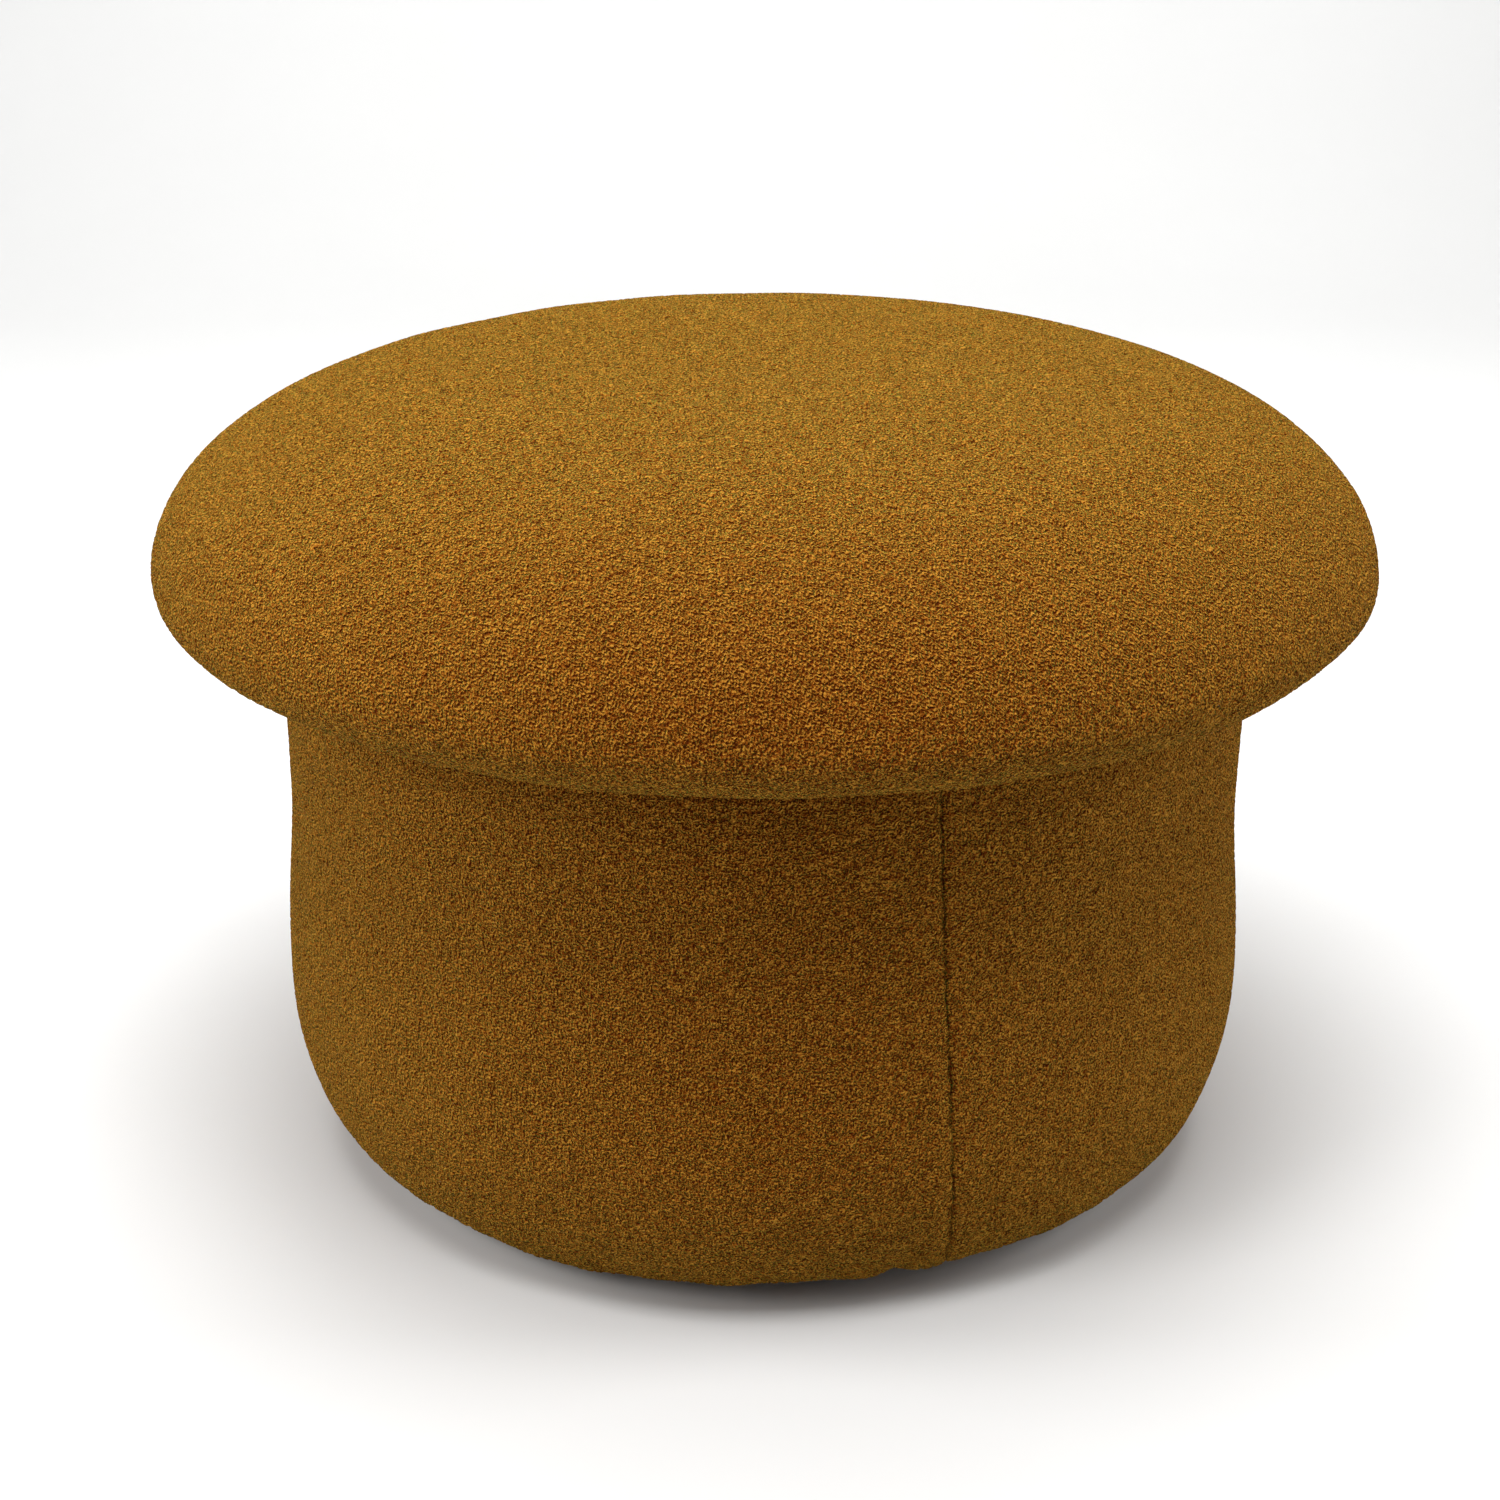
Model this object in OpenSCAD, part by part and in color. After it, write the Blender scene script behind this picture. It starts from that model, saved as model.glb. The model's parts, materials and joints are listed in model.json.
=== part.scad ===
// Round storage ottoman: an upholstered drum with a domed, padded lid that lifts off.
// Millimetres. +Z is up, the origin is on the floor under the middle, and the front faces -Y.

/* [Overall] */
// Diameter of the lid at its widest
lid_d = 600; // [480:1:720]
// Height from the floor to the crown of the lid
total_h = 400; // [350:1:480]
// Height from the floor to the rim that the lid rests on
base_h = 280; // [220:1:336]
// How far the lid stands out past the top of the base, each side
lid_overhang = 60; // [50:1:90]

/* [Lid shape] */
// Height of the lid's widest line above its flat underside
edge_drop = 29; // [20:1:40]
// How far in from the widest line the flat underside begins
under_inset = 52; // [40:1:58]
// Fullness of the dome: a higher value gives a flatter top
dome_power = 4; // [2:0.1:6]
// Sharpness of the dome's shoulder: a lower value slopes more
shoulder_power = 1.75; // [1.5:0.05:3]

/* [Base shape] */
// How far the belly of the base stands out past its top
belly_out = 5; // [0:0.5:12]
// Height of the belly's widest line
belly_h = 95; // [70:1:130]
// Height above which the side is upright
shoulder_h = 195; // [150:1:210]
// How far in from the top of the base the cover is tucked at the floor
tuck_inset = 44; // [36:1:55]
// Height of the tucked hem above the floor
hem_h = 8; // [6:0.5:12]
// Radius of the padded outer edge of the rim
rim_round = 14; // [8:1:18]

/* [Soft layers] */
// Thickness of the looped fabric cover
cover_t = 3; // [2:0.1:4]
// Thickness of the non-woven lining and dust cloth
lining_t = 1; // [0.6:0.1:1.5]
// Thickness of the fibre wadding over the lid's foam
wadding_t = 8; // [5:1:12]
// Thickness of the foam on the side of the drum
side_foam_t = 24; // [22:1:30]
// Width of the cover's hem under the lid
lid_hem_w = 34; // [26:1:50]
// Angle of the front seam of the base cover, to the right of the front
seam_angle = 20; // [0:1:40]

/* [Boards] */
// Thickness of the lid board
lid_board_t = 15; // [9:0.5:20]
// Thickness of the disc that centres the lid in the base
locating_t = 15; // [9:0.5:20]
// Clearance all round between the wrapped disc and the lining
locating_play = 3; // [2:0.5:6]
// Thickness of the floor panel
floor_t = 12; // [9:0.5:18]
// Thickness of the plinth disc
plinth_t = 18; // [15:0.5:21]
// Thickness of the top ring
ring_t = 18; // [12:0.5:24]
// Width of the top ring
ring_w = 22; // [18:0.5:40]
// Thickness of the bent outer wall
wall_t = 4; // [3:0.5:6]
// Thickness of the bent inner liner
liner_t = 3; // [2:0.5:5]

/* [Posts and feet] */
// Number of upright posts in the wall
post_n = 6; // [4:1:8]
// Width of a post
post_w = 40; // [25:1:50]
// Number of feet
foot_n = 4; // [3:1:6]
// Height of a foot
foot_h = 4; // [3:0.5:6]
// Diameter of a foot
foot_d = 30; // [20:1:40]
// Distance of a foot's centre in from the plinth's edge
foot_inset = 32; // [25:1:60]
// Radius of a foot's rounded lower edge
foot_round = 2.5; // [1:0.1:3]
// Radius of the shank of a foot's nail
nail_r = 1.6; // [1.2:0.1:2]

/* [Fasteners] */
// Radius of a wood screw's shank
screw_r = 2; // [1.5:0.1:2.5]
// Radius of a wood screw's head
screw_head_r = 4; // [3.5:0.1:5]
// Height of a wood screw's head
screw_head_h = 2.4; // [2:0.1:3]
// How far a screw bites into the piece that it holds
screw_bite = 10; // [8:0.5:12]
// Number of screws through the locating disc, and of those through the floor panel into the plinth
disc_screw_n = 6; // [3:1:8]
// Distance of those screws in from the locating disc's edge
disc_screw_inset = 36; // [12:1:60]
// Number of staples round each hem
staple_n = 32; // [16:2:48]
// Length of a staple's crown
staple_w = 10; // [8:0.5:12]
// Thickness of the staple wire
staple_wire = 0.9; // [0.7:0.1:1.2]
// Length of a staple's legs in the wood
staple_leg = 7; // [5:0.5:8]
// Distance of the dust cloth's staples in from the plinth's edge
dust_staple_inset = 12; // [6:1:20]

/* [Hidden] */
$fn = 96;
curve_n = 14;        // points along each quarter of an outline
seat_gap = 0.3;      // the lid's lining stays this far above the rim
fit_gap = 0.1;       // gap round a screw in its hole
post_gap = 0.5;      // gap between a flat-faced post and the bent liner
cloth_gap = 0.2;     // gap between the storage lining and the wall behind it
bend_gap = 0.4;      // degrees left open where a bent sheet's ends meet
pan_head_h = 2;      // height of a pan head
slot_d = 0.8;        // width and depth of the cross in a pan head
recess_r = 4;        // radius of the nail's recess in a foot
recess_h = 0.8;      // depth of that recess
nail_head_r = 3.6;   // radius of the nail's head
nail_head_h = 0.6;   // height of the nail's head

// Base, from the outside in
base_r = lid_d / 2 - lid_overhang;
belly_r = base_r + belly_out;
tuck_r = base_r - tuck_inset;
wall_out = base_r - cover_t - side_foam_t;
wall_in = wall_out - wall_t;
ring_in = wall_in - ring_w;
liner_in = ring_in - liner_t;
storage_r = min(liner_in, ring_in - cover_t) - cloth_gap - lining_t;
plinth_r = tuck_r - lining_t;

// Base, from the floor up
plinth_z = foot_h + lining_t;
floor_z = plinth_z + plinth_t;
frame_z = floor_z + floor_t;
ring_top = base_h - cover_t;
ring_z = ring_top - ring_t;
lining_top = ring_z + ring_t / 2;
post_in = ring_in + post_gap;
post_out = sqrt(pow(wall_in, 2) - pow(post_w / 2, 2)) - fit_gap;
post_mid = (post_in + post_out) / 2;

// Lid, from the rim up
lid_r = lid_d / 2;
flat_r = lid_r - under_inset;
hem_in = flat_r - lid_hem_w;
band_out = hem_in + lid_hem_w / 2;
rest_z = base_h + seat_gap;
under_z = rest_z + lining_t;
board_z = under_z + cover_t;
board_top = board_z + lid_board_t;
edge_z = under_z + edge_drop;
crown_h = total_h - edge_z;
foam_inset = cover_t + wadding_t;
disc_top = board_z - lining_t;
disc_z = disc_top - locating_t;
disc_r = storage_r - locating_play - lining_t;
wrap_z = disc_z - lining_t;
disc_screw_r = disc_r - disc_screw_inset;
board_hole_top = board_z + screw_bite;

// Staple rows
lid_staple_r = (hem_in + band_out) / 2;
base_staple_z = (ring_z + lining_top) / 2;
dust_staple_r = plinth_r - dust_staple_inset;

// Feet
foot_r = plinth_r - foot_inset;
nail_top = plinth_z + screw_bite;

function steps(n = curve_n) = [for (i = [0:n]) i / n];
function reversed(list) = [for (i = [len(list) - 1:-1:0]) list[i]];

// The lid's dome from the crown to its widest line, a distance inside the outside
function dome(inset) = [for (u = steps(2 * curve_n)) let (a = 90 * u)
    [(lid_r - inset) * pow(sin(a), 2 / dome_power),
     edge_z + (crown_h - inset) * pow(max(cos(a), 0), 2 / shoulder_power)]];

// The lid's rounded underside from its widest line to where it is flat
function under(inset) = [for (u = steps()) let (a = 90 * u)
    [flat_r + (under_inset - inset) * cos(a), edge_z - (edge_drop - inset) * sin(a)]];

// The base's side from the tucked hem to the edge of the rim, a distance inside the outside
function side(inset) = concat(
    [for (u = steps()) let (a = 90 * u)
        [tuck_r + (belly_r - tuck_r - inset) * sin(a), belly_h - (belly_h - hem_h - inset) * cos(a)]],
    [for (u = steps()) if (u > 0)
        [base_r - inset + belly_out * (1 + cos(180 * u)) / 2, belly_h + (shoulder_h - belly_h) * u]],
    [for (u = steps()) let (a = 90 * u)
        [base_r - rim_round + (rim_round - inset) * cos(a),
         base_h - rim_round + (rim_round - inset) * sin(a)]]);

module disc(r, z, t) {
    translate([0, 0, z]) cylinder(r = r, h = t);
}

module tube(inner, outer, z, h, open = 0) {
    rotate_extrude(angle = 360 - open) translate([inner, z]) square([outer - inner, h]);
}

module around(n, r, turn = 0) {
    for (i = [0:n - 1]) rotate(turn + 360 * i / n) translate([r, 0, 0]) children();
}

// A countersunk screw, its head's face at z = 0 and its point below
module countersunk(length, gap = 0) {
    translate([0, 0, -screw_head_h]) cylinder(r1 = screw_r + gap, r2 = screw_head_r + gap, h = screw_head_h);
    translate([0, 0, -length - gap]) cylinder(r = screw_r + gap, h = length + gap - screw_head_h / 2);
}

// A pan head under z = 0 and its shank above
module pan_screw(length) {
    difference() {
        translate([0, 0, -pan_head_h]) cylinder(r1 = screw_head_r - 1, r2 = screw_head_r, h = pan_head_h);
        for (a = [0, 90]) rotate(a)
            translate([-screw_r, -slot_d / 2, -pan_head_h - slot_d]) cube([2 * screw_r, slot_d, 2 * slot_d]);
    }
    cylinder(r = screw_r, h = length);
}

// A staple lying along Y, pressed in flush with z = 0, its legs up
module staple(reach) {
    translate([-staple_wire / 2, -staple_w / 2, 0]) cube([staple_wire, staple_w, staple_wire]);
    for (y = [-staple_w / 2, staple_w / 2 - staple_wire])
        translate([-staple_wire / 2, y, 0]) cube([staple_wire, staple_wire, reach]);
}

// The clearance holes for the screws that hold the locating disc to the lid board
module disc_holes() {
    around(disc_screw_n, disc_screw_r)
        translate([0, 0, wrap_z - 1]) cylinder(r = screw_r + fit_gap, h = board_hole_top - wrap_z + 1);
}

// The screws down through the floor panel into the plinth disc, or their holes
module floor_screws(gap = 0) {
    around(disc_screw_n, disc_screw_r) translate([0, 0, frame_z]) countersunk(floor_t + screw_bite, gap);
}

// The screws up through the floor panel into the posts, or their holes
module sill_screws(gap = 0) {
    around(post_n, post_mid, 180 / post_n)
        translate([0, 0, floor_z]) mirror([0, 0, 1]) countersunk(floor_t + screw_bite, gap);
}

// The screws down through the top ring into the posts, or their holes
module ring_screws(gap = 0) {
    around(post_n, post_mid, 180 / post_n) translate([0, 0, ring_top]) countersunk(ring_t + screw_bite, gap);
}

// ---- Lid ----

module lid_cover() {
    color("darkgoldenrod") rotate_extrude() polygon(concat(
        dome(0), under(0), [[hem_in, under_z], [hem_in, board_z]],
        reversed(under(cover_t)), reversed(dome(cover_t))));
}

module lid_wadding() {
    color("white") rotate_extrude() polygon(concat(
        dome(cover_t), under(cover_t), reversed(under(foam_inset)), reversed(dome(foam_inset))));
}

module lid_foam() {
    color("khaki") rotate_extrude() polygon(concat(
        [[0, board_top]], dome(foam_inset), under(foam_inset), [[flat_r, board_top]]));
}

module lid_board() {
    color("burlywood") difference() {
        disc(flat_r, board_z, lid_board_t);
        disc_holes();
    }
}

module lid_lining() {
    color("dimgray") difference() {
        rotate_extrude() polygon([[0, disc_top], [hem_in - lining_t, disc_top], [hem_in - lining_t, rest_z],
            [band_out, rest_z], [band_out, under_z], [hem_in, under_z], [hem_in, board_z], [0, board_z]]);
        disc_holes();
    }
}

module lid_staples() {
    color("silver") around(staple_n, lid_staple_r, 180 / staple_n)
        translate([0, 0, rest_z]) staple(lining_t + cover_t + staple_leg);
}

module locating_disc() {
    color("peru") difference() {
        disc(disc_r, disc_z, locating_t);
        disc_holes();
    }
}

module locating_disc_wrap() {
    color("dimgray") difference() {
        disc(disc_r + lining_t, wrap_z, disc_top - wrap_z);
        disc(disc_r, disc_z, locating_t + 1);
        disc_holes();
    }
}

module locating_screws() {
    color("silver") around(disc_screw_n, disc_screw_r)
        translate([0, 0, wrap_z]) pan_screw(board_hole_top - wrap_z - fit_gap);
}

// ---- Base: the wooden frame ----

module top_ring() {
    color("burlywood") difference() {
        tube(ring_in, wall_in, ring_z, ring_t);
        ring_screws(fit_gap);
    }
}

module post(i) {
    color("wheat") difference() {
        rotate(180 / post_n + 360 * i / post_n)
            translate([post_in, -post_w / 2, frame_z]) cube([post_out - post_in, post_w, ring_z - frame_z]);
        ring_screws(fit_gap);
        sill_screws(fit_gap);
    }
}

module post_top_screws() {
    color("silver") ring_screws();
}

module post_bottom_screws() {
    color("silver") sill_screws();
}

module outer_wall() {
    color("saddlebrown") rotate(180 / post_n) tube(wall_in, wall_out, floor_z, ring_top - floor_z, bend_gap);
}

module inner_liner() {
    color("tan") rotate(-180 / post_n) tube(liner_in, ring_in, frame_z, ring_z - frame_z, bend_gap);
}

module floor_panel() {
    color("burlywood") difference() {
        disc(wall_in, floor_z, floor_t);
        sill_screws(fit_gap);
        floor_screws(fit_gap);
    }
}

module plinth_disc() {
    color("peru") difference() {
        disc(plinth_r, plinth_z, plinth_t);
        floor_screws(fit_gap);
        around(foot_n, foot_r, 180 / foot_n) cylinder(r = nail_r + fit_gap, h = nail_top + fit_gap);
    }
}

module plinth_screws() {
    color("silver") floor_screws();
}

// ---- Base: padding, cover and lining ----

module base_foam() {
    color("khaki") rotate_extrude() polygon(concat(
        side(cover_t), [[wall_out, ring_top], [wall_out, floor_z], [tuck_r, floor_z]]));
}

// One of the two sewn halves of the cover, with its top turned down inside the ring
module cover_half(turn) {
    color("goldenrod") rotate(seam_angle - 90 + turn) rotate_extrude(angle = 180) polygon(concat(
        side(0),
        [for (u = steps(5)) [ring_in - cover_t * sin(90 * u), ring_top + cover_t * cos(90 * u)]],
        [[ring_in - cover_t, ring_z + fit_gap], [ring_in, ring_z + fit_gap], [ring_in, ring_top]],
        reversed(side(cover_t))));
}

module storage_lining() {
    color("dimgray") tube(storage_r, storage_r + lining_t, frame_z, lining_top - frame_z);
}

module floor_lining() {
    color("dimgray") disc(storage_r, frame_z, lining_t);
}

module rim_staples() {
    color("silver") for (i = [0:staple_n - 1]) rotate(360 * (i + 0.5) / staple_n)
        translate([storage_r, 0, base_staple_z]) rotate([0, 90, 0]) staple(lining_t + cover_t + staple_leg);
}

module dust_cloth() {
    color("dimgray") difference() {
        disc(tuck_r, foot_h, lining_t + plinth_t);
        disc(plinth_r, plinth_z, plinth_t + 1);
        around(foot_n, foot_r, 180 / foot_n) cylinder(r = nail_r + fit_gap, h = plinth_z + 1);
    }
}

module dust_cloth_staples() {
    color("silver") around(staple_n / 2, dust_staple_r)
        translate([0, 0, foot_h]) staple(lining_t + staple_leg);
}

// A foot with a rounded lower edge and a hole for its nail
module foot(i) {
    color("black") rotate(180 / foot_n + 360 * i / foot_n) translate([foot_r, 0, 0]) rotate_extrude()
        polygon(concat(
            [[nail_r + fit_gap, foot_h], [nail_r + fit_gap, recess_h], [recess_r, recess_h], [recess_r, 0]],
            [for (u = steps(6)) let (a = 90 * u)
                [foot_d / 2 - foot_round + foot_round * sin(a), foot_round * (1 - cos(a))]],
            [[foot_d / 2, foot_h]]));
}

module foot_nails() {
    color("silver") around(foot_n, foot_r, 180 / foot_n) {
        translate([0, 0, recess_h - nail_head_h]) cylinder(r = nail_head_r, h = nail_head_h);
        translate([0, 0, recess_h - nail_head_h]) cylinder(r = nail_r, h = nail_top - recess_h + nail_head_h);
    }
}

lid_cover();
lid_wadding();
lid_foam();
lid_board();
lid_lining();
lid_staples();
locating_disc();
locating_disc_wrap();
locating_screws();
top_ring();
post_top_screws();
post_bottom_screws();
outer_wall();
inner_liner();
floor_panel();
plinth_disc();
plinth_screws();
base_foam();
cover_half(0);  // base_cover_right
cover_half(180);  // base_cover_left
storage_lining();
floor_lining();
rim_staples();
dust_cloth();
dust_cloth_staples();
foot_nails();
for (i = [1:post_n]) post(i - 1);
for (i = [1:foot_n]) foot(i - 1);
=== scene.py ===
import json
import math

import bpy
import numpy as np
from bpy.props import FloatProperty, FloatVectorProperty, IntProperty, PointerProperty
from bpy.types import Operator, Panel, PropertyGroup
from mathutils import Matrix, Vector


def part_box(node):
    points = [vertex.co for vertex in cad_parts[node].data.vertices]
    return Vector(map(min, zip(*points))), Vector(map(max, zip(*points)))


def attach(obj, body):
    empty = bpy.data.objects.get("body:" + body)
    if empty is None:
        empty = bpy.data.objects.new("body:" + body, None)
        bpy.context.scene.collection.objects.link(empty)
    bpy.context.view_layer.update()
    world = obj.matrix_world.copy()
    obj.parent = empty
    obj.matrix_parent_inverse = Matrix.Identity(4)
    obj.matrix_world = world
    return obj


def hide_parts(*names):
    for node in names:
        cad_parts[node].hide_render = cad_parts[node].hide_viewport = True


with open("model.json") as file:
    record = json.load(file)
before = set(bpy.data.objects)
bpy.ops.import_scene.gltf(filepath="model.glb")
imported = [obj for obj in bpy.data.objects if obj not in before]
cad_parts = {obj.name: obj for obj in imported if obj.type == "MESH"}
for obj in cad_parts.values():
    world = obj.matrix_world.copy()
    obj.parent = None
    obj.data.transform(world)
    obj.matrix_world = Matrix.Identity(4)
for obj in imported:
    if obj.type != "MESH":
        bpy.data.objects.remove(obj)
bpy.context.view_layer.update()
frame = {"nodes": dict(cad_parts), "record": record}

bl_info = {
    "name": "Storage ottoman",
    "version": (1, 0, 0),
    "blender": (4, 5, 0),
    "location": "3D View > Sidebar > Ottoman",
    "description": "Upholstery, linings, fasteners and studio for a round ottoman whose lid lifts off",
    "category": "Object",
}

LID_LOW, LID_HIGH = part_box("lid_cover")
RING_LOW, RING_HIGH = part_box("top_ring")
BOARD_LOW, BOARD_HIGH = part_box("lid_board")
CLOTH_LOW, CLOTH_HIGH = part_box("dust_cloth")
LINING_LOW, LINING_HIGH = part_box("storage_lining")
UNDER_LOW, UNDER_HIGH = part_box("lid_lining")
WRAP_LOW, WRAP_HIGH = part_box("locating_disc_wrap")
COVER_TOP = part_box("base_cover_right")[1].z
FLOOR_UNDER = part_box("floor_panel")[0].z
PLINTH_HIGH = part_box("plinth_disc")[1]
LID_RADIUS = (LID_HIGH.x - LID_LOW.x) / 2
TURN = 2 * math.pi

# Radii of the frame that the padding and the cloths fit, in metres
COVER_RADIUS = 0.245
WALL_OUT = 0.213
RING_IN = 0.187
LINING_OUT = 0.184
LID_STAPLE_CIRCLE = 0.2225

LUMP_SIZE = 2.5  # how much wider a modelled lump is than a curl
LUMP_MIDDLE = 0.55  # the height of the fabric's lumps that lies on the smooth skin
FIT = 0.0002  # what padding keeps clear of the wood that it lies on
PAINTED_LIGHT_WAY = (-0.5, 0.55, 0.75)  # the way that each curl's painted lit side faces; its other side gets painted shade
SETTLING_FRAMES = 20
WIRE_SIDES = 8


# ---- Sizes and colours -----------------------------------------------------------------------

def length(name, description, default, low=0.0, high=1.0):
    return FloatProperty(name=name, description=description, default=default, min=low, max=high,
                         precision=5, unit="LENGTH")


def factor(name, description, default, low=0.0, high=1.0):
    return FloatProperty(name=name, description=description, default=default, min=low, max=high)


def angle(name, description, degrees):
    return FloatProperty(name=name, description=description, default=math.radians(degrees),
                         min=-math.pi, max=math.pi, unit="ROTATION")


def colour(name, description, default):
    return FloatVectorProperty(name=name, description=description, default=default, size=3,
                               min=0.0, max=1.0, subtype="COLOR")


class OttomanFabric(PropertyGroup):
    """The looped cover fabric."""
    spacing: length("Skin spacing", "Distance between the points of the modelled skin", 0.00115, 0.0005, 0.01)
    curl_size: length("Curl size", "Width of one curl of yarn", 0.00088, 0.0005, 0.01)
    curl_height: length("Curl height", "Relief of one curl of yarn", 0.0015, 0.0, 0.004)
    lump_height: length("Lump height", "Height of the lumps in the modelled skin", 0.0013, 0.0, 0.004)
    # The gap colour is painted shade deep between the curls; the body colour is the yarn's own.
    gap: colour("Gap colour", "Colour deep between the curls", (0.066, 0.0078, 0.0004))
    # Lean sets the strength of the painted light and shade on every curl: a painted highlight on the side
    # that faces the painted light's way, painted shade on the other side.
    lean: factor("Lean", "How much paler a curl is on the side that the pile leans away from", 0.62)
    body: colour("Body colour", "Colour of the yarn", (0.246, 0.0610, 0.0038))
    # The tip colour is a painted highlight on the tops of the curls.
    tip: colour("Tip colour", "Colour of the tops of the curls", (0.495, 0.2220, 0.0260))
    sheen: factor("Sheen", "Strength of the fuzz at grazing angles", 0.22)
    sheen_tint: colour("Sheen tint", "Colour of the fuzz", (0.50, 0.80, 0.10))


class OttomanLid(PropertyGroup):
    """The lid's cushion."""
    edge_drop: length("Edge drop", "Height of the widest line above the flat underside", 0.029)
    under_inset: length("Underside inset", "Distance in from the widest line to the flat underside", 0.052)
    dome_power: factor("Dome fullness", "A higher value gives a flatter top", 4.0, 2.0, 6.0)
    shoulder_power: factor("Shoulder", "A lower value slopes more", 1.75, 1.0, 3.0)
    hem_width: length("Hem width", "Width of the hem under the lid", 0.034)
    cloth_cell: length("Cloth cell", "Size of the simulated cloth's cells", 0.0075, 0.003, 0.03)
    pressure: factor("Pressure", "How hard the foam pushes the cover out", 4.0, 0.0, 20.0)
    most_shift: length("Most shift", "How far the simulation may move a point", 0.0016, 0.0, 0.03)
    wave: length("Wave", "Height of the cover's slow unevenness", 0.0006, 0.0, 0.01)


class OttomanDrum(PropertyGroup):
    """The drum's padding and cover."""
    belly_out: length("Belly", "How far the belly stands out past the top", 0.005)
    belly_h: length("Belly height", "Height of the belly's widest line", 0.095)
    shoulder_h: length("Shoulder height", "Height above which the side is upright", 0.195)
    tuck_inset: length("Tuck", "How far in from the top the cover is tucked at the floor", 0.044)
    rim_round: length("Rim rounding", "Radius of the rim's padded edge", 0.014)
    seam_top: angle("Seam at the top", "Angle of the front seam at the rim, to the right of the front", 18.3)
    seam_foot: angle("Seam at the foot", "Angle of the front seam at the hem", 24.0)
    seam_depth: length("Seam depth", "Depth of the seam's groove", 0.0015)
    seam_width: length("Seam width", "Half width of the seam's groove", 0.0012)
    hem_low: length("Hem height", "Height of the hem above the floor where it hangs lowest", 0.0052)
    hem_lift: length("Hem lift", "How much higher the hem is pulled near the front seam", 0.0042)
    hem_wave: length("Hem wave", "Height of the scallops between the hem's staples", 0.0009)
    pucker_at: angle("Pucker", "Angle of the pucker in the hem, to the right of the front", 16.4)
    pucker_depth: length("Pucker depth", "How far the pucker goes in", 0.0040)
    wave: length("Wave", "Height of the cover's slow unevenness", 0.0007, 0.0, 0.01)
    most_shift: length("Most shift", "How far the simulation may move a point", 0.0016, 0.0, 0.03)
    cloth_cell: length("Cloth cell", "Size of the simulated cloth's cells", 0.009, 0.003, 0.03)
    pressure: factor("Pressure", "How hard the foam pushes the cover out", 3.0, 0.0, 20.0)


class OttomanTrim(PropertyGroup):
    """Linings, staples and their finishes."""
    lining: colour("Lining colour", "Colour of the non-woven lining", (0.060, 0.058, 0.057))
    dust: colour("Dust cloth colour", "Colour of the non-woven dust cloth", (0.430, 0.395, 0.400))
    dot_pitch: length("Dot pitch", "Distance between the pressed dots of the non-woven cloth", 0.0024)
    cloth_t: length("Cloth thickness", "Thickness of the modelled non-woven cloth", 0.0007)
    staple_n: IntProperty(name="Staples", description="Number of staples in a row", default=32, min=3)
    staple_w: length("Staple width", "Length of a staple's crown", 0.010)
    wire: length("Staple wire", "Thickness of a staple's wire", 0.0009)


class OttomanStage(PropertyGroup):
    """Camera, lights and floor."""
    eye_back: length("Eye back", "Distance of the camera in front of the axis", 1.336, 0.1, 10.0)
    eye_up: length("Eye height", "Height of the camera above the floor", 0.7313, 0.0, 10.0)
    eye_side: length("Eye side", "Distance of the camera to the right of the axis", -0.0069, -1.0, 1.0)
    eye_down: angle("Eye down", "Tilt of the camera below level", 21.335)
    lens: FloatProperty(name="Lens", description="Focal length on a 36 mm sensor", default=67.2, min=10.0)
    shift: FloatProperty(name="Shift", description="Upward shift of the view", default=-0.0157)
    floor: colour("Floor colour", "Colour of the floor", (0.66, 0.66, 0.655))


def settings(context):
    scene = context.scene
    return (scene.ottoman_fabric, scene.ottoman_lid, scene.ottoman_drum, scene.ottoman_trim,
            scene.ottoman_stage)


# ---- Node and mesh helpers -------------------------------------------------------------------

def node(tree, kind, inputs=None, **props):
    """A new node with its properties set and its inputs set or linked, by name or number."""
    made = tree.nodes.new(kind)
    for name, value in props.items():
        setattr(made, name, value)
    for key, value in (inputs or {}).items():
        if isinstance(value, bpy.types.NodeSocket):
            tree.links.new(value, made.inputs[key])
        else:
            made.inputs[key].default_value = value
    return made


def calc(tree, operation, *values, clamp=False):
    made = node(tree, "ShaderNodeMath", dict(enumerate(values)), operation=operation)
    made.use_clamp = clamp
    return made.outputs[0]


def spread(tree, value, low, high, out_low=0.0, out_high=1.0):
    """value from low to high, as a number from out_low to out_high."""
    made = node(tree, "ShaderNodeMapRange", {"Value": value, "From Min": low, "From Max": high,
                                             "To Min": out_low, "To Max": out_high})
    return made.outputs["Result"]


def noise(tree, vector, size, detail=1.0, rough=0.5):
    """Smooth noise from 0 to 1 whose lumps are about size across."""
    made = node(tree, "ShaderNodeTexNoise", {"Vector": vector, "Scale": 1.0 / size, "Detail": detail,
                                             "Roughness": rough})
    return made.outputs[0]


def mixed(tree, amount, first, second):
    made = node(tree, "ShaderNodeMix", data_type="RGBA")
    for socket, value in ((made.inputs[0], amount), (made.inputs[6], first), (made.inputs[7], second)):
        if isinstance(value, bpy.types.NodeSocket):
            tree.links.new(value, socket)
        else:
            socket.default_value = value if socket is made.inputs[0] else (*value, 1.0)
    return made.outputs[2]


def mesh_piece(name, verts, faces, finish=None):
    """A new object in the scene with its place in its mesh."""
    mesh = bpy.data.meshes.new(name)
    mesh.from_pydata(np.asarray(verts).tolist(), [], [list(map(int, f)) for f in faces])
    mesh.polygons.foreach_set("use_smooth", [True] * len(mesh.polygons))
    if finish:
        mesh.materials.append(finish)
    piece = bpy.data.objects.new(name, mesh)
    bpy.context.scene.collection.objects.link(piece)
    return piece


def add_values(mesh, name, values):
    """A number at each point of a mesh, as a named attribute."""
    made = mesh.attributes.new(name, "FLOAT", "POINT")
    made.data.foreach_set("value", np.asarray(values, np.float32))


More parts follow.
